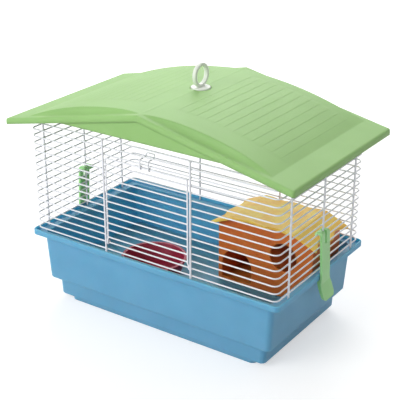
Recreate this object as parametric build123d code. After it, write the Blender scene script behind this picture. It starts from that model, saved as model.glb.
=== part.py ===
"""Small pet cage: stepped tray, welded wire walls, gabled roof, drop-down door, clips, house and dish."""
import os
from math import cos, pi, sin
from build123d import *

os.makedirs("parts", exist_ok=True)

# Wire walls, between wire centres: length, width, corner bend, wire thickness, spacing and count
WIRE_L = 350.0
WIRE_W = 197.0
BEND_R = 7.0
RING_D = 1.8
POST_D = 2.4
PITCH = 9.4
RINGS = 16
RING_Z0 = 100.5
WELD = 0.25
POST_TOP = 242.0
FRONT_POST_X = 62.0
END_POST_SET = 16.0

# Tray: wall thickness, floor, ledge, lip, corner radius and the rounding under each step
TRAY_T = 2.5
FLOOR_Z = 37.5
LEDGE_Z = 93.5
LIP_TOP = 98.0
LIP_BOTTOM = 90.5
LIP_OUT = 5.5
LIP_T = 2.0
LIP_R = 1.2
TRAY_R = 7.0
STEP_R = 3.0

# Tray tiers, foot and top of each as (height, inset from the wires at the ends, inset at front and back)
FOOT_TIER = ((0.0, 36.0, 16.5), (6.5, 35.5, 16.0))
LOWER_TIER = ((5.5, 21.0, 12.5), (31.0, 20.0, 12.0))
UPPER_TIER = ((29.5, 10.5, 4.5), (LEDGE_Z, 6.0, 3.0))

# Roof: overhangs past the wires, edge heights, shell thickness, bowed panels, gable walls and snap tabs
ROOF_OVER_X = 25.5
ROOF_OVER_Y = 17.2
EAVE_Z = 237.1
APEX_Z = 279.5
EDGE_H = 7.2
EDGE_R = 3.0
ROOF_T = 2.5
PANEL_START = 2.0
PANEL_END_SET = 30.5
PANEL_SIDE_SET = 5.2
PANEL_RISE = 8.5
PANEL_FOOT_R = 9.0
PANEL_FOOT_SINK = 0.6
GABLE_Z = 254.5
GABLE_SET = 4.0
TAB_Y = 45.0
TAB_W = 12.0

# Door: side wires, top bar, bars, eyes on the sill wire
DOOR_X = 58.2
DOOR_D = 2.0
SILL_RING = 1
HEADER_RING = 13
BAR_DROP = 1.4
TOP_DROP = 3.5
RUN = 0.05

# Latch on the door's top bar
LATCH_D = 1.6
LATCH_X = 6.0
LATCH_RISE = 10.5
LATCH_IN = 7.5
LATCH_TOP = 15.0

# Side clips, hung on one wire of each end wall
CLIP_RING = 5
CLIP_W = 19.0
CLIP_TAB_W = 25.0
CLIP_TAB_R = 7.0
CLIP_T = 2.8
CLIP_GAP = 0.4
CLIP_CATCH = 2.0
CLIP_FOOT_Z = 65.5

# Carry ring on the ridge
RING_Y = 11.0
RING_OUT_R = 15.0
RING_BORE_R = 11.0
RING_THICK = 5.0
FOOT_R = 12.0
FOOT_H = 3.0
STEM_R = 4.0
SEAT_DROP = 2.0
NUT_R = 9.0
NUT_H = 5.0

# House and its roof: gaps to the wires, wall and roof sizes, doorway and window
HOUSE_GAP_X = 17.0
HOUSE_GAP_Y = 15.5
HOUSE_L = 133.0
HOUSE_W = 68.0
HOUSE_EAVE = 117.5
HOUSE_TOP = 127.5
HOUSE_T = 2.5
HOUSE_SHOULDER = 24.0
HOUSE_OVER = 7.5
HOUSE_ROOF_T = 3.0
WAVE_LONG = 3.0
WAVE_SHORT = 6.5
RIB_SHORT = 25.0
DOORWAY_SET = 27.0
DOORWAY_R = 21.5
DOORWAY_H = 45.0
DOORWAY_SILL = 4.0
WINDOW_SET = 40.0
WINDOW_H = 54.0
WINDOW_R = 18.5

# Dish
DISH_X = -50.0
DISH_Y = -21.0
DISH_R = 42.0
DISH_BASE_R = 33.0
DISH_H = 24.0
DISH_T = 2.5

# Values that follow from the ones above
HX = WIRE_L / 2
HY = WIRE_W / 2
RR = RING_D / 2
PR = POST_D / 2
POST_OUT = RR + PR - WELD
DOOR_OUT = RR + RUN + DOOR_D / 2
levels = [RING_Z0 + PITCH * k for k in range(RINGS)]
SX = HX - BEND_R
SY = HY - BEND_R
END_POST_Y = SY - END_POST_SET
ROOF_X = HX + ROOF_OVER_X
ROOF_Y = HY + ROOF_OVER_Y
ROOF_SLOPE = (APEX_Z - EAVE_Z) / ROOF_X
roof_top = APEX_Z + EDGE_H
HOUSE_X1 = HX - HOUSE_GAP_X
HOUSE_X0 = HOUSE_X1 - HOUSE_L
HOUSE_Y1 = HY - HOUSE_GAP_Y
HOUSE_Y0 = HOUSE_Y1 - HOUSE_W


def save(shape, name):
    export_step(shape, f"parts/{name}.step")
    print(name, len(shape.solids()), round(shape.volume, 1))


def rod(a, b, r):
    a, b = Vector(*a), Vector(*b)
    return Solid.make_cylinder(r, (b - a).length, Plane(origin=a, z_dir=b - a))


def fused(shapes):
    return shapes[0].fuse(*shapes[1:])


def tube(points, r, bend):
    line = FilletPolyline(*points, radius=bend)
    start = Plane(origin=line @ 0, z_dir=line % 0)
    return sweep(start * Circle(r), path=line)


# Tray: stacked tapers for the outside, cut by the inside and by the hollow under the floor
def rounded(z, inset_x, inset_y, corner):
    return Pos(0, 0, z) * RectangleRounded(WIRE_L - 2 * inset_x, WIRE_W - 2 * inset_y, corner)


def taper(low, high, corner):
    return loft([rounded(*low, corner), rounded(*high, corner)], ruled=True)


def tier(span):
    solid = taper(*span, TRAY_R)
    return fillet(solid.edges().group_by(Axis.Z)[0], STEP_R)


def hollow(span, low_z, high_z):
    (z0, x0, y0), (z1, x1, y1) = span

    def at(z):
        share = (z - z0) / (z1 - z0)
        return z, x0 + (x1 - x0) * share + TRAY_T, y0 + (y1 - y0) * share + TRAY_T

    return taper(at(low_z), at(high_z), TRAY_R - TRAY_T)


lip = taper((LIP_BOTTOM, -LIP_OUT, -LIP_OUT), (LIP_TOP, -LIP_OUT, -LIP_OUT), TRAY_R)
lip = fillet(lip.edges().group_by(Axis.Z)[0] + lip.edges().group_by(Axis.Z)[-1], LIP_R)
tray = taper(*FOOT_TIER, TRAY_R) + tier(LOWER_TIER) + tier(UPPER_TIER) + lip
lip_in = LIP_T - LIP_OUT
tray -= taper((LEDGE_Z, lip_in, lip_in), (LIP_TOP + 1, lip_in, lip_in), TRAY_R - LIP_T)
tray -= hollow(UPPER_TIER, FLOOR_Z, LEDGE_Z + 1)
lower_cut = LOWER_TIER[0][0] + TRAY_T
upper_cut = UPPER_TIER[0][0] + TRAY_T
tray -= hollow(FOOT_TIER, -1.0, lower_cut)
tray -= hollow(LOWER_TIER, lower_cut, upper_cut)
tray -= hollow(UPPER_TIER, upper_cut, FLOOR_Z - TRAY_T)
save(tray, "base_tray")


# Wire walls: straight wires of each side with their uprights, and the bent corners between them
def post(x, y, top=POST_TOP):
    return rod((x, y, LEDGE_Z), (x, y, top), PR)


back = [rod((-SX, HY, z), (SX, HY, z), RR) for z in levels]
back += [post(x, HY + POST_OUT) for x in (-FRONT_POST_X, FRONT_POST_X)]
save(fused(back), "wire_back")

for name, side in (("wire_left", -1), ("wire_right", 1)):
    wires = [rod((side * HX, -SY, z), (side * HX, SY, z), RR) for z in levels]
    wires += [post(side * (HX + POST_OUT), y) for y in (-END_POST_Y, 0.0, END_POST_Y)]
    save(fused(wires), name)

front_y = -HY
for name, side in (("wire_front_left", -1), ("wire_front_right", 1)):
    inner = side * FRONT_POST_X
    wires = [rod((inner, front_y, z), (side * SX, front_y, z), RR) for z in levels]
    wires.append(post(inner, front_y - POST_OUT))
    save(fused(wires), name)

for name, span in (("wire_sill", levels[: SILL_RING + 1]), ("wire_header", levels[HEADER_RING:])):
    wires = [rod((-FRONT_POST_X, front_y, z), (FRONT_POST_X, front_y, z), RR) for z in span]
    posts = [post(x, front_y - POST_OUT) for x in (-FRONT_POST_X, FRONT_POST_X)]
    save(Compound([w.cut(*posts).solid() for w in wires]), name)

for name, sx, sy in (("corner_fl", -1, -1), ("corner_fr", 1, -1), ("corner_bl", -1, 1), ("corner_br", 1, 1)):
    bends = []
    for z in levels:
        arc = ThreePointArc(
            (sx * SX, sy * HY, z),
            (sx * (SX + BEND_R * cos(pi / 4)), sy * (SY + BEND_R * sin(pi / 4)), z),
            (sx * HX, sy * SY, z),
        )
        start = Plane(origin=arc @ 0, z_dir=arc % 0)
        bends.append(sweep(start * Circle(RR), path=arc).solid())
    save(Compound(bends), name)

# Door: an inverted U of wire with bars across, and an eye at each foot round the sill wire
sill_z = levels[SILL_RING]
bar_top = levels[HEADER_RING] - TOP_DROP
door_y = front_y - DOOR_OUT
EYE_X = 59.4
DR = DOOR_D / 2
frame_path = [
    (-EYE_X, door_y, sill_z),
    (-EYE_X, door_y, sill_z + 3.5),
    (-DOOR_X, door_y, sill_z + 6.5),
    (-DOOR_X, door_y, bar_top),
    (DOOR_X, door_y, bar_top),
    (DOOR_X, door_y, sill_z + 6.5),
    (EYE_X, door_y, sill_z + 3.5),
    (EYE_X, door_y, sill_z),
]
door = [tube(frame_path, DR, 2.0)]
for z in levels[SILL_RING + 1 : HEADER_RING]:
    door.append(rod((-DOOR_X, door_y, z - BAR_DROP), (DOOR_X, door_y, z - BAR_DROP), RR))
EYE_R = 0.92
for x in (-EYE_X, EYE_X):
    door.append(Pos(x, front_y, sill_z) * Rot(0, 90, 0) * Torus(RR + 0.08 + EYE_R, EYE_R))
save(fused([s.solid() for s in door]), "door_grille")

# Latch: one wire from eye to eye round the top bar, up, inwards under a wire and up behind it
LR = LATCH_D / 2
LATCH_EYE = 0.72
leg_y = door_y - DR - RUN - LR
latch_path = [
    (-LATCH_X, leg_y, bar_top),
    (-LATCH_X, leg_y, bar_top + LATCH_RISE),
    (-LATCH_X, front_y + LATCH_IN, bar_top + LATCH_RISE),
    (-LATCH_X, front_y + LATCH_IN + 1.5, bar_top + LATCH_TOP),
    (LATCH_X, front_y + LATCH_IN + 1.5, bar_top + LATCH_TOP),
    (LATCH_X, front_y + LATCH_IN, bar_top + LATCH_RISE),
    (LATCH_X, leg_y, bar_top + LATCH_RISE),
    (LATCH_X, leg_y, bar_top),
]
latch = [tube(latch_path, LR, 2.2).solid()]
for x in (-LATCH_X, LATCH_X):
    latch.append((Pos(x, door_y, bar_top) * Rot(0, 90, 0) * Torus(DR + 0.08 + LATCH_EYE, LATCH_EYE)).solid())
save(fused(latch), "door_latch")

# Side clips: two prongs over one wire, a strap down past the lip, a catch under it and a finger tab
clip_z = levels[CLIP_RING]
strap_x = HX + POST_OUT + PR + CLIP_GAP
lip_x = HX + LIP_OUT
catch_z = LIP_BOTTOM - 0.5
clip_line = [
    (HX - 3.4, clip_z - 2.2),
    (HX - 3.4, clip_z + 1.6),
    (HX - 1.8, clip_z + 3.2),
    (strap_x + CLIP_T - 1.2, clip_z + 3.2),
    (strap_x + CLIP_T, clip_z + 1.6),
    (strap_x + CLIP_T, clip_z - 4.0),
    (lip_x + CLIP_GAP + CLIP_T, LIP_TOP + 3.5),
    (lip_x + CLIP_GAP + CLIP_T, catch_z - 4.0),
    (lip_x + CLIP_GAP + 9.5, CLIP_FOOT_Z + 1.0),
    (lip_x + CLIP_GAP + 7.5, CLIP_FOOT_Z),
    (lip_x + CLIP_GAP + 6.0, CLIP_FOOT_Z + 1.0),
    (lip_x - CLIP_CATCH, catch_z - 2.6),
    (lip_x - CLIP_CATCH, catch_z),
    (lip_x + CLIP_GAP, catch_z),
    (lip_x + CLIP_GAP, LIP_TOP + 2.0),
    (strap_x, clip_z - 5.0),
    (strap_x, clip_z - 0.5),
    (HX + 2.2, clip_z - 0.5),
    (HX + 1.6, clip_z),
    (HX - 1.4, clip_z),
    (HX - 1.4, clip_z - 2.2),
]
clip_sides = [
    (CLIP_W / 2, clip_z + 5),
    (CLIP_W / 2, LIP_TOP - 4),
    (CLIP_TAB_W / 2, LIP_BOTTOM - 9),
    (CLIP_TAB_W / 2, CLIP_FOOT_Z),
    (-CLIP_TAB_W / 2, CLIP_FOOT_Z),
    (-CLIP_TAB_W / 2, LIP_BOTTOM - 9),
    (-CLIP_W / 2, LIP_TOP - 4),
    (-CLIP_W / 2, clip_z + 5),
]
clip_front = make_face(Polyline(*clip_sides, close=True))
clip_front = fillet(clip_front.vertices(), CLIP_TAB_R)
clip = extrude(Plane.XZ * make_face(Polyline(*clip_line, close=True)), CLIP_TAB_W / 2, both=True)
clip &= extrude(Plane.YZ * clip_front, ROOF_X)
clip -= rod((HX, -CLIP_W, clip_z), (HX, CLIP_W, clip_z), RR + RUN)
clip -= Pos(HX, 0, clip_z) * Box(40, 2 * PR + 2.2, 24)
clip = clip.solid()
save(clip, "right_clip")
save(clip.rotate(Axis.Z, 180), "left_clip")


# Roof: a gable shell with a bowed panel on each slope, gable walls, wire seats and snap tabs
def gable(x, y, low, edge, drop):
    peak = low + ROOF_SLOPE * x
    outline = [(-x, low), (-x, low + edge), (0, peak + edge), (x, low + edge), (x, low), (0, peak - drop)]
    return extrude(Plane.XZ * make_face(Polyline(*outline, close=True)), y, both=True)


def bow(side, sink):
    def at(x):
        return roof_top - ROOF_SLOPE * x - sink

    end = ROOF_X - PANEL_END_SET - sink
    half = ROOF_Y - PANEL_SIDE_SET - sink
    face = make_face(
        [
            ThreePointArc(
                (side * PANEL_START, at(PANEL_START)),
                (side * end / 2, at(end / 2) + PANEL_RISE),
                (side * end, at(end)),
            ),
            Polyline(
                (side * end, at(end)),
                (side * end, at(end) - ROOF_T / 2),
                (side * PANEL_START, at(PANEL_START) - ROOF_T / 2),
                (side * PANEL_START, at(PANEL_START)),
            ),
        ]
    )
    rise = PANEL_RISE + 1
    foot, neck = -PANEL_FOOT_SINK, PANEL_FOOT_R - PANEL_FOOT_SINK
    waist = half - PANEL_FOOT_R
    swing = PANEL_FOOT_R * cos(pi / 4)
    section = make_face(
        [
            Polyline((half, foot), (half, -rise), (-half, -rise), (-half, foot)),
            ThreePointArc((-half, foot), (swing - half, neck - swing), (-waist, neck)),
            Polyline((-waist, neck), (-waist, rise), (waist, rise), (waist, neck)),
            ThreePointArc((waist, neck), (half - swing, neck - swing), (half, foot)),
        ]
    )
    hip = Pos(0, 0, at(0)) * (Plane.YZ * section)
    return extrude(Plane.XZ * face, half, both=True) & extrude(hip, ROOF_X, dir=(side, 0, -ROOF_SLOPE))


def on_top(edge):
    middle = edge.center()
    level = abs(middle.Z - roof_top + ROOF_SLOPE * abs(middle.X)) < 0.1
    corner = abs(middle.X) > ROOF_X - 1 and abs(middle.Y) > ROOF_Y - 1
    return (level or corner) and abs(middle.X) > 1


roof = gable(ROOF_X, ROOF_Y, EAVE_Z, EDGE_H, 0.0)
roof = fillet(roof.edges().filter_by(on_top), EDGE_R)
for side in (-1, 1):
    roof += bow(side, 0.0)
inner_low = EAVE_Z + ROOF_SLOPE * ROOF_T
inside = gable(ROOF_X - ROOF_T, ROOF_Y - ROOF_T, inner_low - 20, EDGE_H + 20 - ROOF_T * 1.02, 0.0)
for side in (-1, 1):
    inside += bow(side, ROOF_T)
roof -= inside


def under(x):
    return roof_top - ROOF_T * 1.02 - ROOF_SLOPE * abs(x)


gable_x = (roof_top - ROOF_T - GABLE_Z) / ROOF_SLOPE
gable_line = [(-gable_x, GABLE_Z), (0, roof_top - ROOF_T * 0.5), (gable_x, GABLE_Z)]
for side in (-1, 1):
    wall = extrude(Plane.XZ * make_face(Polyline(*gable_line, close=True)), ROOF_T / 2, both=True)
    roof += Pos(0, side * (ROOF_Y - GABLE_SET), 0) * wall
seat_z = levels[-1] + RR
for side in (-1, 1):
    rail_top = under(HX) + 1.0
    roof += Pos(side * HX, 0, (seat_z + rail_top) / 2) * Box(ROOF_T, 2 * SY - 8, rail_top - seat_z)
    for y in (-TAB_Y, TAB_Y):
        tab = [
            (HX - 0.5, rail_top),
            (HX - 4.2, rail_top),
            (HX - 4.2, levels[-1] - 4.0),
            (HX - 2.0, levels[-1] - 4.0),
            (HX - 0.3, levels[-1] - RR - 0.9),
            (HX - 0.3, levels[-1] - RR - 0.3),
            (HX - RR - 0.3, levels[-1] - RR - 0.3),
            (HX - RR - 0.3, seat_z),
            (HX - 0.5, seat_z),
        ]
        solid = extrude(Plane.XZ * make_face(Polyline(*tab, close=True)), TAB_W / 2, both=True)
        solid = solid if side == 1 else solid.rotate(Axis.Z, 180)
        roof += Pos(0, y, 0) * solid
seat = roof_top - SEAT_DROP
pad_low = seat - 2 * ROOF_T
roof += Pos(0, RING_Y, (pad_low + seat) / 2) * Cylinder(FOOT_R + 4, seat - pad_low)
roof -= Pos(0, RING_Y, seat + 5) * Cylinder(FOOT_R + 1.0, 10)
roof -= Pos(0, RING_Y, seat) * Cylinder(STEM_R + 0.08, 40)
save(roof.solid(), "roof_shell")

# Carry ring with its foot and stem, and the round nut that holds it under the ridge
foot_z = seat + 0.1
ring_z = foot_z + FOOT_H + RING_OUT_R - 1.0
ring = Pos(0, 0, ring_z) * Rot(0, 90, 0) * Cylinder(RING_OUT_R, RING_THICK)
ring = fillet(ring.edges().filter_by(GeomType.CIRCLE), 1.6)
ring -= Pos(0, 0, ring_z) * Rot(0, 90, 0) * Cylinder(RING_BORE_R, 2 * RING_THICK)
foot = Pos(0, 0, foot_z + FOOT_H / 2) * Cylinder(FOOT_R, FOOT_H)
ring += fillet(foot.edges().group_by(Axis.Z)[-1], 1.2)
nut_top = pad_low - 0.3
ring += rod((0, 0, nut_top - NUT_H), (0, 0, foot_z + 0.5), STEM_R)
save(Pos(0, RING_Y, 0) * ring.solid(), "carry_ring")
nut = rod((0, 0, nut_top - NUT_H), (0, 0, nut_top), NUT_R) - rod((0, 0, nut_top - 9), (0, 0, nut_top + 1), STEM_R)
save(Pos(0, RING_Y, 0) * nut.solid(), "ring_nut")


# House walls with an arched doorway and a round window, and the loose roof that sits on them
def house_outline(grow):
    x0, x1 = HOUSE_X0 + grow, HOUSE_X1 - grow
    line = [
        (x0, FLOOR_Z - 5 * (grow > 0)),
        (x0, HOUSE_EAVE + 40 * (grow > 0)),
        (x0 + HOUSE_SHOULDER, HOUSE_TOP + 40 * (grow > 0)),
        (x1 - HOUSE_SHOULDER, HOUSE_TOP + 40 * (grow > 0)),
        (x1, HOUSE_EAVE + 40 * (grow > 0)),
        (x1, FLOOR_Z - 5 * (grow > 0)),
    ]
    return make_face(Polyline(*line, close=True))


house_mid_y = (HOUSE_Y0 + HOUSE_Y1) / 2
house_half = (HOUSE_Y1 - HOUSE_Y0) / 2
walls = extrude(Plane.XZ * house_outline(0.0), house_half, both=True)
walls -= extrude(Plane.XZ * house_outline(HOUSE_T), house_half - HOUSE_T, both=True)
walls = Pos(0, house_mid_y, 0) * walls
arch_z = FLOOR_Z + DOORWAY_H - DOORWAY_R
cut_y = HOUSE_Y0 + HOUSE_T / 2
doorway_x = HOUSE_X0 + DOORWAY_SET
walls -= Pos(doorway_x, cut_y, arch_z) * Rot(90, 0, 0) * Cylinder(DOORWAY_R, 2 * HOUSE_T)
jamb_h = arch_z - FLOOR_Z - DOORWAY_SILL
walls -= Pos(doorway_x, cut_y, arch_z - jamb_h / 2) * Box(2 * DOORWAY_R, 2 * HOUSE_T, jamb_h)
walls -= Pos(HOUSE_X1 - WINDOW_SET, cut_y, FLOOR_Z + WINDOW_H) * Rot(90, 0, 0) * Cylinder(WINDOW_R, 2 * HOUSE_T)
save(walls.solid(), "house_walls")

fall = (HOUSE_TOP - HOUSE_EAVE) / HOUSE_SHOULDER
low = HOUSE_EAVE - HOUSE_OVER * fall
roof_line = [
    (HOUSE_X0 - HOUSE_OVER, low),
    (HOUSE_X0 + HOUSE_SHOULDER, HOUSE_TOP),
    (HOUSE_X1 - HOUSE_SHOULDER, HOUSE_TOP),
    (HOUSE_X1 + HOUSE_OVER, low),
    (HOUSE_X1 + HOUSE_OVER, low + HOUSE_ROOF_T),
    (HOUSE_X1 - HOUSE_SHOULDER + 1, HOUSE_TOP + HOUSE_ROOF_T),
    (HOUSE_X0 + HOUSE_SHOULDER - 1, HOUSE_TOP + HOUSE_ROOF_T),
    (HOUSE_X0 - HOUSE_OVER, low + HOUSE_ROOF_T),
]
lid_half = house_half + HOUSE_OVER


def wavy(a, b, waves, depth):
    a, b = Vector(*a), Vector(*b)
    inward = (b - a).normalized().rotate(Axis.Z, 90)
    steps = 8 * waves
    points = [a + (b - a) * (k / steps) + inward * (depth * (1 - cos(2 * pi * waves * k / steps)) / 2) for k in range(steps + 1)]
    return Spline(*points)


corners = [
    (HOUSE_X0 - HOUSE_OVER, HOUSE_Y0 - HOUSE_OVER),
    (HOUSE_X1 + HOUSE_OVER, HOUSE_Y0 - HOUSE_OVER),
    (HOUSE_X1 + HOUSE_OVER, HOUSE_Y1 + HOUSE_OVER),
    (HOUSE_X0 - HOUSE_OVER, HOUSE_Y1 + HOUSE_OVER),
]
edges = []
for k in range(4):
    waves, depth = ((4, WAVE_LONG), (2, WAVE_SHORT))[k % 2]
    edges.append(wavy(corners[k], corners[(k + 1) % 4], waves, depth))
lid = Pos(0, house_mid_y, 0) * extrude(Plane.XZ * make_face(Polyline(*roof_line, close=True)), lid_half, both=True)
lid &= extrude(Pos(0, 0, FLOOR_Z) * make_face(edges), HOUSE_TOP)
for side in (-1, 1):
    rib_y = house_mid_y + side * (house_half - HOUSE_T - 1.6)
    rib_l = HOUSE_L - 2 * HOUSE_SHOULDER - RIB_SHORT
    lid += Pos((HOUSE_X0 + HOUSE_X1) / 2, rib_y, HOUSE_TOP - 1.5) * Box(rib_l, 2, 4)
save(lid.solid(), "house_roof")

# Food dish, turned
dish_line = [
    (0, 0),
    (DISH_BASE_R, 0),
    (DISH_R - 1.5, DISH_H - 3.0),
    (DISH_R, DISH_H - 2.0),
    (DISH_R, DISH_H),
    (DISH_R - DISH_T - 1.0, DISH_H),
    (DISH_BASE_R - DISH_T, DISH_T),
    (0, DISH_T),
]
dish = revolve(Plane.XZ * make_face(Polyline(*dish_line, close=True)), Axis.Z)
save(Pos(DISH_X, DISH_Y, FLOOR_Z) * dish, "food_dish")
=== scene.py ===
"""Hamster cage on a white floor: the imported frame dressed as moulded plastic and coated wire."""
import math

import bmesh
import bpy
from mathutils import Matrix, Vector


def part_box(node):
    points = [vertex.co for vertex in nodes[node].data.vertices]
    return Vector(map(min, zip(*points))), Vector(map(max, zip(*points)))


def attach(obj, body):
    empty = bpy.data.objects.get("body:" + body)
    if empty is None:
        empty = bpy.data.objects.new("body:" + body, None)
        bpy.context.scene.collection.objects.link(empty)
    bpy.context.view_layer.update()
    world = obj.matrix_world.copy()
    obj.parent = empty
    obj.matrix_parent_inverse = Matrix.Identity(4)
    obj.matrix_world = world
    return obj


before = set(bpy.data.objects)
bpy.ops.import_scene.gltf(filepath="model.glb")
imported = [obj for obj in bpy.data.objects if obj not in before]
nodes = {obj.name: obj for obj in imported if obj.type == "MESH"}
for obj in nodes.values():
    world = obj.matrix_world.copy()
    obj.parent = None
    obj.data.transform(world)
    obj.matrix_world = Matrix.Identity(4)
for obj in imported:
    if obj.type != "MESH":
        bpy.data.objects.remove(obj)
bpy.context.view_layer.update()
scene = bpy.context.scene


# Base tray. One deep tray of blue polypropylene, injection moulded with drafted walls, two steps
# down to a low foot, and a turned lip round the top that the wire walls stand in. The mould's fine
# texture leaves a satin skin: broad soft highlights and a colour that is slightly clouded.
def linear(code):
    """A colour written as sRGB hex, as the linear values that shaders take."""
    parts = [int(code[i : i + 2], 16) / 255 for i in (1, 3, 5)]
    return [c / 12.92 if c <= 0.04045 else ((c + 0.055) / 1.055) ** 2.4 for c in parts] + [1.0]


def add(tree, kind, inputs=None, **settings):
    """Adds one node: settings are its own properties, inputs are values or the sockets to link."""
    node = tree.nodes.new(kind)
    for name, value in settings.items():
        setattr(node, name, value)
    for name, value in (inputs or {}).items():
        if isinstance(value, bpy.types.NodeSocket):
            tree.links.new(value, node.inputs[name])
        else:
            node.inputs[name].default_value = value
    return node


PLASTIC_IOR = 1.49
CLOUD_FROM, CLOUD_TO = 0.35, 0.65
POLISH_LESS, POLISH_MORE = 0.05, 0.07
GRAIN_DEEP, EDGE_SAMPLES = 0.0004, 6
MM = 1000


def moulded_plastic(
    name,
    colour,
    cloud,
    rough,
    cloud_mm=45.0,
    grain_mm=1.6,
    grain=0.06,
    edge_mm=0.8,
    haze=0.5,
    deep_mm=(3.0, 3.0, 3.0),
):
    """Injection-moulded plastic: satin, clouded a little, softened at its edges, and hazy, so that some
    light wanders through a thin wall and leaves it in the plastic's own colour."""
    material = bpy.data.materials.new(name)
    material.use_nodes = True
    tree = material.node_tree
    shader = tree.nodes["Principled BSDF"]
    shader.inputs["IOR"].default_value = PLASTIC_IOR
    shader.inputs["Subsurface Weight"].default_value = haze
    shader.inputs["Subsurface Radius"].default_value = deep_mm
    shader.inputs["Subsurface Scale"].default_value = 1 / MM
    place = add(tree, "ShaderNodeTexCoord").outputs["Object"]
    clouds = add(tree, "ShaderNodeTexNoise", {"Vector": place, "Scale": MM / cloud_mm, "Detail": 3.0})
    patches = add(
        tree,
        "ShaderNodeMapRange",
        {"Value": clouds.outputs["Fac"], "From Min": CLOUD_FROM, "From Max": CLOUD_TO},
    )
    tint = add(
        tree,
        "ShaderNodeMix",
        {0: patches.outputs["Result"], 6: linear(colour), 7: linear(cloud)},
        data_type="RGBA",
    )
    tree.links.new(tint.outputs[2], shader.inputs["Base Color"])
    skin = add(tree, "ShaderNodeTexNoise", {"Vector": place, "Scale": MM / grain_mm, "Detail": 2.0})
    polish = add(
        tree,
        "ShaderNodeMapRange",
        {"Value": skin.outputs["Fac"], "To Min": rough - POLISH_LESS, "To Max": rough + POLISH_MORE},
    )
    tree.links.new(polish.outputs["Result"], shader.inputs["Roughness"])
    soft_edge = add(tree, "ShaderNodeBevel", {"Radius": edge_mm / MM}, samples=EDGE_SAMPLES)
    bump = add(
        tree,
        "ShaderNodeBump",
        {
            "Strength": grain,
            "Distance": GRAIN_DEEP,
            "Height": skin.outputs["Fac"],
            "Normal": soft_edge.outputs["Normal"],
        },
    )
    tree.links.new(bump.outputs["Normal"], shader.inputs["Normal"])
    return material


def paint(node, material):
    """Puts one material on a CAD node."""
    slots = nodes[node].data.materials
    slots.clear()
    slots.append(material)


tray_blue = moulded_plastic(
    "blue polypropylene, moulded", "#67A6C9", "#61A1C4", 0.50, edge_mm=1.2, haze=1.0, deep_mm=(3.5, 7.5, 7.0)
)
paint("base_tray", tray_blue)

# Wire walls. Steel wires bent round the corners, spot welded to thicker uprights and dipped in white
# plastic. The coat is smooth and a little uneven, with a soft highlight along each wire.
COAT_IOR, TOP_GLOSS, TOP_GLOSS_ROUGH = 1.5, 0.3, 0.2
DIP_MM, COAT_SMOOTH, COAT_DULL = 18.0, 0.26, 0.42
coat_white = bpy.data.materials.new("white plastic coat on steel wire")
coat_white.use_nodes = True
tree = coat_white.node_tree
shader = tree.nodes["Principled BSDF"]
shader.inputs["IOR"].default_value = COAT_IOR
shader.inputs["Coat Weight"].default_value = TOP_GLOSS
shader.inputs["Coat Roughness"].default_value = TOP_GLOSS_ROUGH
place = add(tree, "ShaderNodeTexCoord").outputs["Object"]
dip = add(tree, "ShaderNodeTexNoise", {"Vector": place, "Scale": MM / DIP_MM, "Detail": 2.0})
coat = add(
    tree,
    "ShaderNodeMix",
    {0: dip.outputs["Fac"], 6: linear("#EDEEF4"), 7: linear("#E2E4EB")},
    data_type="RGBA",
)
tree.links.new(coat.outputs[2], shader.inputs["Base Color"])
gloss = add(
    tree, "ShaderNodeMapRange", {"Value": dip.outputs["Fac"], "To Min": COAT_SMOOTH, "To Max": COAT_DULL}
)
tree.links.new(gloss.outputs["Result"], shader.inputs["Roughness"])
for node in nodes:
    if node.startswith(("wire_", "corner_")):
        paint(node, coat_white)

# Welds of the walls. Where a wire crosses an upright the two are melted together, and the dip pools
# round the spot as a small smooth bead. One bead for every wire on every upright.
WIRE_R, POST_R, WELD_SINK = 0.0009, 0.0012, 0.00025
WIRE_ROWS, END_POST_Y = 16, 0.0755
BEAD = (0.0018, 0.0010, 0.0015)

weld_beads = bpy.data.node_groups.new("weld beads up a row of uprights", "GeometryNodeTree")
for name, kind in (
    ("Geometry", "NodeSocketGeometry"),
    ("Wires", "NodeSocketInt"),
    ("Wire spacing", "NodeSocketFloat"),
    ("Bead size", "NodeSocketVector"),
    ("Finish", "NodeSocketMaterial"),
):
    weld_beads.interface.new_socket(name, in_out="INPUT", socket_type=kind)
weld_beads.interface.new_socket("Geometry", in_out="OUTPUT", socket_type="NodeSocketGeometry")
given = add(weld_beads, "NodeGroupInput").outputs
rise = add(weld_beads, "ShaderNodeCombineXYZ", {"Z": given["Wire spacing"]})
column = add(weld_beads, "GeometryNodeMeshLine", {"Count": given["Wires"], "Offset": rise.outputs[0]})
stacked = add(
    weld_beads,
    "GeometryNodeInstanceOnPoints",
    {"Points": given["Geometry"], "Instance": column.outputs["Mesh"]},
)
spots = add(weld_beads, "GeometryNodeRealizeInstances", {"Geometry": stacked.outputs[0]})
turn = add(weld_beads, "GeometryNodeInputNamedAttribute", {"Name": "turn"}, data_type="FLOAT")
spin = add(weld_beads, "ShaderNodeCombineXYZ", {"Z": turn.outputs["Attribute"]})
drop = add(weld_beads, "GeometryNodeMeshIcoSphere", {"Radius": 1.0, "Subdivisions": 2})
beads = add(
    weld_beads,
    "GeometryNodeInstanceOnPoints",
    {
        "Points": spots.outputs[0],
        "Instance": drop.outputs["Mesh"],
        "Rotation": spin.outputs[0],
        "Scale": given["Bead size"],
    },
)
melted = add(weld_beads, "GeometryNodeRealizeInstances", {"Geometry": beads.outputs[0]})
smooth = add(weld_beads, "GeometryNodeSetShadeSmooth", {"Geometry": melted.outputs[0]})
finished = add(
    weld_beads, "GeometryNodeSetMaterial", {"Geometry": smooth.outputs[0], "Material": given["Finish"]}
)
add(weld_beads, "NodeGroupOutput", {"Geometry": finished.outputs[0]})


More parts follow.
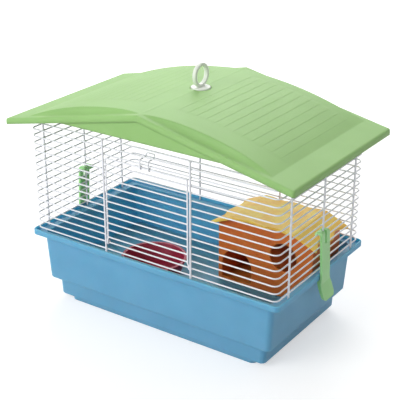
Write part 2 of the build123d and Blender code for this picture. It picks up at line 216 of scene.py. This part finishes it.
def grown(name, group, inputs, start=None):
    """Runs a node tree on a starting mesh and keeps the result as a plain mesh object."""
    carrier = bpy.data.objects.new(name, start or bpy.data.meshes.new(name))
    scene.collection.objects.link(carrier)
    modifier = carrier.modifiers.new("nodes", "NODES")
    modifier.node_group = group
    for item in group.interface.items_tree:
        if item.in_out == "INPUT" and item.name in inputs:
            modifier[item.identifier] = inputs[item.name]
    evaluated = carrier.evaluated_get(bpy.context.evaluated_depsgraph_get())
    mesh = bpy.data.meshes.new_from_object(evaluated)
    carrier.modifiers.remove(modifier)
    carrier.data = mesh
    mesh.name = name
    return carrier


def weld_feet(name, places):
    """The lowest weld of each upright as a mesh of points, each with its wall's turn."""
    mesh = bpy.data.meshes.new(name)
    mesh.from_pydata([spot for spot, _ in places], [], [])
    turns = mesh.attributes.new("turn", "FLOAT", "POINT")
    for item, (_, angle) in zip(turns.data, places):
        item.value = angle
    return mesh


corner_low, corner_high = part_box("corner_fl")
wire_low = corner_low[2] + WIRE_R
wire_step = (corner_high[2] - corner_low[2] - 2 * WIRE_R) / (WIRE_ROWS - 1)
front_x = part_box("wire_front_right")[0][0] + POST_R
wall_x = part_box("corner_fr")[1][0] - WIRE_R
wall_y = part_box("corner_bl")[1][1] - WIRE_R
weld_out = WIRE_R - WELD_SINK / 2
uprights = [
    ((x, y, wire_low), 0.0)
    for x in (-front_x, front_x)
    for y in (-wall_y - weld_out, wall_y + weld_out)
]
uprights += [
    ((x, y, wire_low), math.pi / 2)
    for x in (-wall_x - weld_out, wall_x + weld_out)
    for y in (-END_POST_Y, 0.0, END_POST_Y)
]
wall_welds = grown(
    "wall_welds",
    weld_beads,
    {"Wires": WIRE_ROWS, "Wire spacing": wire_step, "Bead size": BEAD, "Finish": coat_white},
    weld_feet("wall_welds", uprights),
)
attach(wall_welds, "cage")

# Door. The same coated wire, bent to an inverted U with bars butted and welded between its legs, and
# an eye at each foot that turns on a wire of the wall. The welds are beads as on the walls.
paint("door_grille", coat_white)
DOOR_BARS, BAR_DROP, DOOR_GAP = 11, 0.0014, 0.00005
DOOR_LEG_X, DOOR_WIRE_R = 0.0582, 0.0010
DOOR_BEAD = (0.0013, 0.0011, 0.0013)
bar_y = -wall_y - WIRE_R - DOOR_GAP - DOOR_WIRE_R
bar_low = wire_low + 2 * wire_step - BAR_DROP
legs = [((side * (DOOR_LEG_X - DOOR_WIRE_R), bar_y, bar_low), 0.0) for side in (-1, 1)]
door_welds = grown(
    "door_welds",
    weld_beads,
    {"Wires": DOOR_BARS, "Wire spacing": wire_step, "Bead size": DOOR_BEAD, "Finish": coat_white},
    weld_feet("door_welds", legs),
)
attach(door_welds, "door")

# Latch. A springy loop of thinner coated wire, bent round the door's top bar and hooked over a wire of
# the wall. It has the same white coat as the door, with the same soft highlight.
paint("door_latch", coat_white)

# Side clips. Green polypropylene straps that hang on a wire of each end wall and snap under the
# tray's lip. Moulded in a polished tool, so they are a little glossier than the tray.
clip_green = moulded_plastic("green polypropylene, moulded", "#A5E199", "#9DD991", 0.36, edge_mm=0.7)
paint("left_clip", clip_green)
paint("right_clip", clip_green)

# Roof. One pale green polypropylene moulding: a shallow gable with a bowed panel on each slope, held
# on the top wires by snap tabs. Satin like the tray, paler where the flat light catches it.
ROOF_TINTS, ROOF_ROUGH = ("#91BC72", "#8CB76D"), 0.56
ROOF_SKIN = {"cloud_mm": 70.0, "deep_mm": (2.5, 3.0, 1.8)}
roof_green = moulded_plastic("pale green polypropylene, moulded", *ROOF_TINTS, ROOF_ROUGH, edge_mm=4.0, **ROOF_SKIN)
paint("roof_shell", roof_green)

# Roof boards. Flat boards moulded into each bowed panel, side by side from the ridge to the eave and
# parted by fine V grooves. The outer boards and all the boards' ends run out into the panel.
BOARDS, BOARD_W, BOARD_L = 13, 0.0120, 0.164
BOARD_FIRST, BOARD_MIDDLE = 0.0137, 0.008
GROOVE_DEEP, BOARD_ROOT, BOARD_FADE = 0.00025, 0.0008, 0.010
STRIPS, STRIPS_LONG = 8, 41
GROOVE_SIDE = 0.5 - 0.5 * math.sin(math.pi * (0.5 - 1 / STRIPS))
GROOVE_SINK = 0.15
PROBE_FROM, PROBE_LONG = 1.0, 2.0
board_green = moulded_plastic(
    "pale green polypropylene, crisp moulding", *ROOF_TINTS, ROOF_ROUGH, edge_mm=0.1, **ROOF_SKIN
)

grooved_boards = bpy.data.node_groups.new("grooved boards on a roof", "GeometryNodeTree")
for name, kind in (
    ("Roof", "NodeSocketObject"),
    ("Boards", "NodeSocketInt"),
    ("Board width", "NodeSocketFloat"),
    ("Board length", "NodeSocketFloat"),
    ("Groove depth", "NodeSocketFloat"),
    ("Groove side", "NodeSocketFloat"),
    ("Root", "NodeSocketFloat"),
    ("Run-out", "NodeSocketFloat"),
    ("First board", "NodeSocketFloat"),
    ("Middle", "NodeSocketFloat"),
    ("Side", "NodeSocketFloat"),
    ("Finish", "NodeSocketMaterial"),
):
    grooved_boards.interface.new_socket(name, in_out="INPUT", socket_type=kind)
grooved_boards.interface.new_socket("Geometry", in_out="OUTPUT", socket_type="NodeSocketGeometry")
given = add(grooved_boards, "NodeGroupInput").outputs
MATHS = "ShaderNodeMath"
# one blank for each board, cut into strips across and along, and numbered from the ridge
blank = add(
    grooved_boards,
    "GeometryNodeMeshCube",
    {"Size": (1.0, 1.0, 1.0), "Vertices X": STRIPS + 1, "Vertices Y": STRIPS_LONG + 1, "Vertices Z": 2},
)
local = add(grooved_boards, "GeometryNodeCaptureAttribute", {"Geometry": blank.outputs["Mesh"]})
local.capture_items.new("VECTOR", "blank")
grooved_boards.links.new(add(grooved_boards, "GeometryNodeInputPosition").outputs[0], local.inputs[1])
rows = add(grooved_boards, "GeometryNodeMeshLine", {"Count": given["Boards"]})
counted = add(grooved_boards, "GeometryNodeCaptureAttribute", {"Geometry": rows.outputs["Mesh"]})
counted.capture_items.new("FLOAT", "number")
grooved_boards.links.new(add(grooved_boards, "GeometryNodeInputIndex").outputs[0], counted.inputs[1])
laid = add(
    grooved_boards, "GeometryNodeInstanceOnPoints", {"Points": counted.outputs[0], "Instance": local.outputs[0]}
)
solid = add(grooved_boards, "GeometryNodeRealizeInstances", {"Geometry": laid.outputs[0]})
across, along, up = add(grooved_boards, "ShaderNodeSeparateXYZ", {0: local.outputs[1]}).outputs
number = counted.outputs[1]
# the strips are drawn narrow towards the board's edges, so that the outer ones are the groove's sides
turned = add(grooved_boards, MATHS, {0: across, 1: math.pi}, operation="MULTIPLY").outputs[0]
crowded = add(grooved_boards, MATHS, {0: turned}, operation="SINE").outputs[0]
down = add(grooved_boards, MATHS, {0: crowded, 1: 0.5, 2: 0.5}, operation="MULTIPLY_ADD").outputs[0]
boards_out = add(grooved_boards, MATHS, {0: number, 1: down}, operation="ADD").outputs[0]
out = add(
    grooved_boards, MATHS, {0: boards_out, 1: given["Board width"], 2: given["First board"]}, operation="MULTIPLY_ADD"
).outputs[0]
run = add(grooved_boards, MATHS, {0: along, 1: given["Board length"]}, operation="MULTIPLY").outputs[0]
y = add(grooved_boards, MATHS, {0: run, 1: given["Middle"]}, operation="ADD").outputs[0]
x = add(grooved_boards, MATHS, {0: out, 1: given["Side"]}, operation="MULTIPLY").outputs[0]
half = add(grooved_boards, MATHS, {0: given["Board length"], 1: 0.5}, operation="MULTIPLY").outputs[0]
from_middle = add(grooved_boards, MATHS, {0: run}, operation="ABSOLUTE").outputs[0]
to_end = add(grooved_boards, MATHS, {0: half, 1: from_middle}, operation="SUBTRACT").outputs[0]
fade = add(
    grooved_boards,
    "ShaderNodeMapRange",
    {"Value": to_end, "From Max": given["Run-out"]},
    interpolation_type="SMOOTHSTEP",
).outputs[0]
above = add(grooved_boards, "ShaderNodeCombineXYZ", {"X": x, "Y": y, "Z": PROBE_FROM}).outputs[0]
roof_skin = add(grooved_boards, "GeometryNodeObjectInfo", {"Object": given["Roof"]})
fall = add(
    grooved_boards,
    "GeometryNodeRaycast",
    {
        "Target Geometry": roof_skin.outputs["Geometry"],
        "Source Position": above,
        "Ray Direction": (0.0, 0.0, -1.0),
        "Ray Length": PROBE_LONG,
    },
)
surface = add(grooved_boards, "ShaderNodeSeparateXYZ", {0: fall.outputs["Hit Position"]}).outputs[2]
# a board stands up between its two grooves, and the first and last ones slope off over their whole width
last = add(grooved_boards, MATHS, {0: given["Boards"], 1: 1.0}, operation="SUBTRACT").outputs[0]
is_first = add(grooved_boards, MATHS, {0: number, 1: 0.0, 2: 0.5}, operation="COMPARE").outputs[0]
is_last = add(grooved_boards, MATHS, {0: number, 1: last, 2: 0.5}, operation="COMPARE").outputs[0]
ridge_side = add(
    grooved_boards, "ShaderNodeMix", {0: is_first, 2: given["Groove side"], 3: 1.0}, data_type="FLOAT"
).outputs[0]
eave_side = add(
    grooved_boards, "ShaderNodeMix", {0: is_last, 2: given["Groove side"], 3: 1.0}, data_type="FLOAT"
).outputs[0]
rise = add(grooved_boards, MATHS, {0: down, 1: ridge_side}, operation="DIVIDE").outputs[0]
left_over = add(grooved_boards, MATHS, {0: 1.0, 1: down}, operation="SUBTRACT").outputs[0]
drop = add(grooved_boards, MATHS, {0: left_over, 1: eave_side}, operation="DIVIDE").outputs[0]
shoulder = add(grooved_boards, MATHS, {0: rise, 1: drop}, operation="MINIMUM").outputs[0]
flat_top = add(grooved_boards, MATHS, {0: shoulder, 1: 1.0}, operation="MINIMUM").outputs[0]
faded = add(grooved_boards, MATHS, {0: flat_top, 1: fade}, operation="MULTIPLY").outputs[0]
sunk = add(grooved_boards, MATHS, {0: faded, 1: GROOVE_SINK}, operation="SUBTRACT").outputs[0]
top = add(grooved_boards, MATHS, {0: sunk, 1: given["Groove depth"], 2: surface}, operation="MULTIPLY_ADD").outputs[0]
under = add(grooved_boards, MATHS, {0: surface, 1: given["Root"]}, operation="SUBTRACT").outputs[0]
is_top = add(grooved_boards, MATHS, {0: up, 1: 0.0}, operation="GREATER_THAN").outputs[0]
z = add(grooved_boards, "ShaderNodeMix", {0: is_top, 2: under, 3: top}, data_type="FLOAT").outputs[0]
spot = add(grooved_boards, "ShaderNodeCombineXYZ", {"X": x, "Y": y, "Z": z}).outputs[0]
shaped = add(grooved_boards, "GeometryNodeSetPosition", {"Geometry": solid.outputs[0], "Position": spot})
finished = add(
    grooved_boards, "GeometryNodeSetMaterial", {"Geometry": shaped.outputs[0], "Material": given["Finish"]}
)
add(grooved_boards, "NodeGroupOutput", {"Geometry": finished.outputs[0]})
board_sizes = {
    "Roof": nodes["roof_shell"],
    "Boards": BOARDS,
    "Board width": BOARD_W,
    "Board length": BOARD_L,
    "Groove depth": GROOVE_DEEP,
    "Groove side": GROOVE_SIDE,
    "Root": BOARD_ROOT,
    "Run-out": BOARD_FADE,
    "First board": BOARD_FIRST,
    "Middle": BOARD_MIDDLE,
    "Finish": board_green,
}
for name, side in (("roof_boards_left", -1.0), ("roof_boards_right", 1.0)):
    piece = grown(name, grooved_boards, dict(board_sizes, Side=side))
    if side < 0:
        piece.data.flip_normals()
    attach(piece, "cage")

# Carry ring. A white polypropylene ring on a round foot, turned on its stem in the ridge and held
# from below by a round nut. Moulded, satin, slightly creamy next to the wires.
ring_white = moulded_plastic("white polypropylene, moulded", "#E6EAE2", "#DDE3D8", 0.32, edge_mm=0.7)
paint("carry_ring", ring_white)
paint("ring_nut", ring_white)

# House. Orange polystyrene walls moulded in one piece, with a doorway and a round window, standing
# loose on the tray's floor. Harder and a little glossier than the tray.
house_orange = moulded_plastic(
    "orange polystyrene, moulded", "#E67F38", "#DC7530", 0.40, haze=0.6, deep_mm=(5.0, 2.5, 1.5)
)
paint("house_walls", house_orange)

# House floor. A thin orange sheet pressed in between the walls, with a shallow rim left round it.
# It stands on the tray and moves with the walls.
HOUSE_WALL, FLOOR_SHEET, FLOOR_RIM, FLOOR_DISH = 0.0025, 0.0012, 0.004, 0.0005
house_low, house_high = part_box("house_walls")
sheet = bmesh.new()
bmesh.ops.create_cube(sheet, size=1.0)
for corner in sheet.verts:
    for axis in (0, 1):
        near, far = house_low[axis] + HOUSE_WALL, house_high[axis] - HOUSE_WALL
        corner.co[axis] = near if corner.co[axis] < 0 else far
    corner.co[2] = house_low[2] + (FLOOR_SHEET if corner.co[2] > 0 else 0.0)
top_face = max(sheet.faces, key=lambda face: face.calc_center_median()[2])
bmesh.ops.inset_individual(sheet, faces=[top_face], thickness=FLOOR_RIM, depth=-FLOOR_DISH)
bmesh.ops.recalc_face_normals(sheet, faces=sheet.faces)
house_floor_mesh = bpy.data.meshes.new("house_floor")
sheet.to_mesh(house_floor_mesh)
sheet.free()
house_floor_mesh.materials.append(house_orange)
house_floor = bpy.data.objects.new("house_floor", house_floor_mesh)
scene.collection.objects.link(house_floor)
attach(house_floor, "house")

# House roof. Yellow polystyrene with a wavy edge, loose on the walls. Its colour drifts to orange in
# soft clouds, at random.
house_yellow = moulded_plastic(
    "yellow polystyrene, moulded", "#FFDB66", "#FFC24E", 0.50, cloud_mm=26.0, haze=0.1, deep_mm=(5.0, 4.5, 2.0)
)
paint("house_roof", house_yellow)

# Food dish. Crimson polystyrene, moulded round with a rolled rim and standing loose on the tray. Its
# skin is smooth but not mirror bright, so the rim takes a soft pale line.
dish_red = moulded_plastic(
    "crimson polystyrene, moulded smooth", "#B02A4B", "#9C2240", 0.40, grain=0.02, deep_mm=(4.0, 1.0, 1.5)
)
paint("food_dish", dish_red)

# Floor. A sweep of white paper that takes the cage's soft shadow and runs out to white further off.
# Matt, so it mirrors nothing. Its lift to white is seen but doesn't light the cage.
FLOOR_REACH, PAPER_ROUGH, PAPER_GLOSS = 4.0, 0.9, 0.2
LIFT_NEAR, LIFT_FAR = 0.53, 0.95
LIFT_FROM, LIFT_TO = 0.5, 2.0
floor_mesh = bpy.data.meshes.new("floor")
floor_corners = [(-1, -1), (1, -1), (1, 1), (-1, 1)]
floor_mesh.from_pydata([(x * FLOOR_REACH, y * FLOOR_REACH, 0) for x, y in floor_corners], [], [(0, 1, 2, 3)])
floor = bpy.data.objects.new("floor", floor_mesh)
scene.collection.objects.link(floor)
paper = bpy.data.materials.new("white paper sweep")
paper.use_nodes = True
tree = paper.node_tree
shader = tree.nodes["Principled BSDF"]
shader.inputs["Base Color"].default_value = linear("#CFCFCF")
shader.inputs["Roughness"].default_value = PAPER_ROUGH
shader.inputs["Specular IOR Level"].default_value = PAPER_GLOSS
shader.inputs["Emission Color"].default_value = linear("#FFFFFF")
path = add(tree, "ShaderNodeLightPath").outputs
seen = add(tree, MATHS, {0: path["Is Camera Ray"], 1: path["Is Glossy Ray"]}, operation="MAXIMUM")
seen = add(tree, MATHS, {0: seen.outputs[0], 1: path["Is Transmission Ray"]}, operation="MAXIMUM")
place = add(tree, "ShaderNodeTexCoord").outputs["Object"]
off_centre = add(tree, "ShaderNodeVectorMath", {0: place}, operation="LENGTH")
lift = add(
    tree,
    "ShaderNodeMapRange",
    {
        "Value": off_centre.outputs["Value"],
        "From Min": LIFT_FROM,
        "From Max": LIFT_TO,
        "To Min": LIFT_NEAR,
        "To Max": LIFT_FAR,
    },
    interpolation_type="SMOOTHSTEP",
)
glow = add(tree, MATHS, {0: lift.outputs["Result"], 1: seen.outputs[0]}, operation="MULTIPLY")
tree.links.new(glow.outputs[0], shader.inputs["Emission Strength"])
floor_mesh.materials.append(paper)

# Light. A white surround, stronger low down and on the left, and three large soft lamps: the main one
# from the front left, one from behind on the left and a weak one overhead.
LOW_SKY, HIGH_SKY = 0.90, 0.25
LEFT_SKY, RIGHT_SKY = 1.1, 0.7
LAMP_SIZE, LAMP_AIM = 1.4, Vector((0, 0, 0.15))
world = bpy.data.worlds.new("white surround")
world.use_nodes = True
scene.world = world
tree = world.node_tree
background = tree.nodes["Background"]
background.inputs["Color"].default_value = (1.0, 1.0, 1.0, 1.0)
path = add(tree, "ShaderNodeLightPath").outputs
seen = add(tree, MATHS, {0: path["Is Camera Ray"], 1: path["Is Glossy Ray"]}, operation="MAXIMUM")
seen = add(tree, MATHS, {0: seen.outputs[0], 1: path["Is Transmission Ray"]}, operation="MAXIMUM")
way_out = add(tree, "ShaderNodeSeparateXYZ", {0: add(tree, "ShaderNodeTexCoord").outputs["Generated"]})
by_height = add(tree, "ShaderNodeMapRange", {"Value": way_out.outputs["Z"], "To Min": LOW_SKY, "To Max": HIGH_SKY})
by_side = add(
    tree,
    "ShaderNodeMapRange",
    {"Value": way_out.outputs["X"], "From Min": -1.0, "To Min": LEFT_SKY, "To Max": RIGHT_SKY},
)
ambient = add(tree, MATHS, {0: by_height.outputs["Result"], 1: by_side.outputs["Result"]}, operation="MULTIPLY")
level = add(tree, "ShaderNodeMapRange", {"Value": seen.outputs[0], "To Min": ambient.outputs[0], "To Max": 1.0})
tree.links.new(level.outputs["Result"], background.inputs["Strength"])
for name, place, power in (
    ("front lamp", (-0.6, -1.82, 1.1), 27.0),
    ("back lamp", (-0.75, 1.3, 1.35), 18.0),
    ("top lamp", (0.1, 0.2, 1.9), 6.0),
):
    lamp = bpy.data.lights.new(name, "AREA")
    lamp.size = LAMP_SIZE
    lamp.energy = power
    stand = bpy.data.objects.new(name, lamp)
    stand.location = place
    stand.rotation_euler = (LAMP_AIM - Vector(place)).to_track_quat("-Z", "Y").to_euler()
    scene.collection.objects.link(stand)

# Camera. Placed by fitting the wires, the rim and the roof's corners, with the focal length in pixels
# of a picture that is 400 wide.
FOCAL_PX, PICTURE_PX, SENSOR_MM = 1022.9, 400, 36.0
AZIMUTH, ELEVATION, DISTANCE = math.radians(34.4), math.radians(23.7), 1.2623
AIM = Vector((0.0050, 0.0022, 0.1447))
camera_data = bpy.data.cameras.new("camera")
camera_data.sensor_width = SENSOR_MM
camera_data.lens = FOCAL_PX / PICTURE_PX * SENSOR_MM
camera = bpy.data.objects.new("camera", camera_data)
level_way = math.cos(ELEVATION)
way = Vector((math.sin(AZIMUTH) * level_way, -math.cos(AZIMUTH) * level_way, math.sin(ELEVATION)))
camera.location = AIM + way * DISTANCE
camera.rotation_euler = (-way).to_track_quat("-Z", "Y").to_euler()
scene.collection.objects.link(camera)
scene.camera = camera
scene.view_settings.view_transform = "Standard"

bpy.context.view_layer.update()
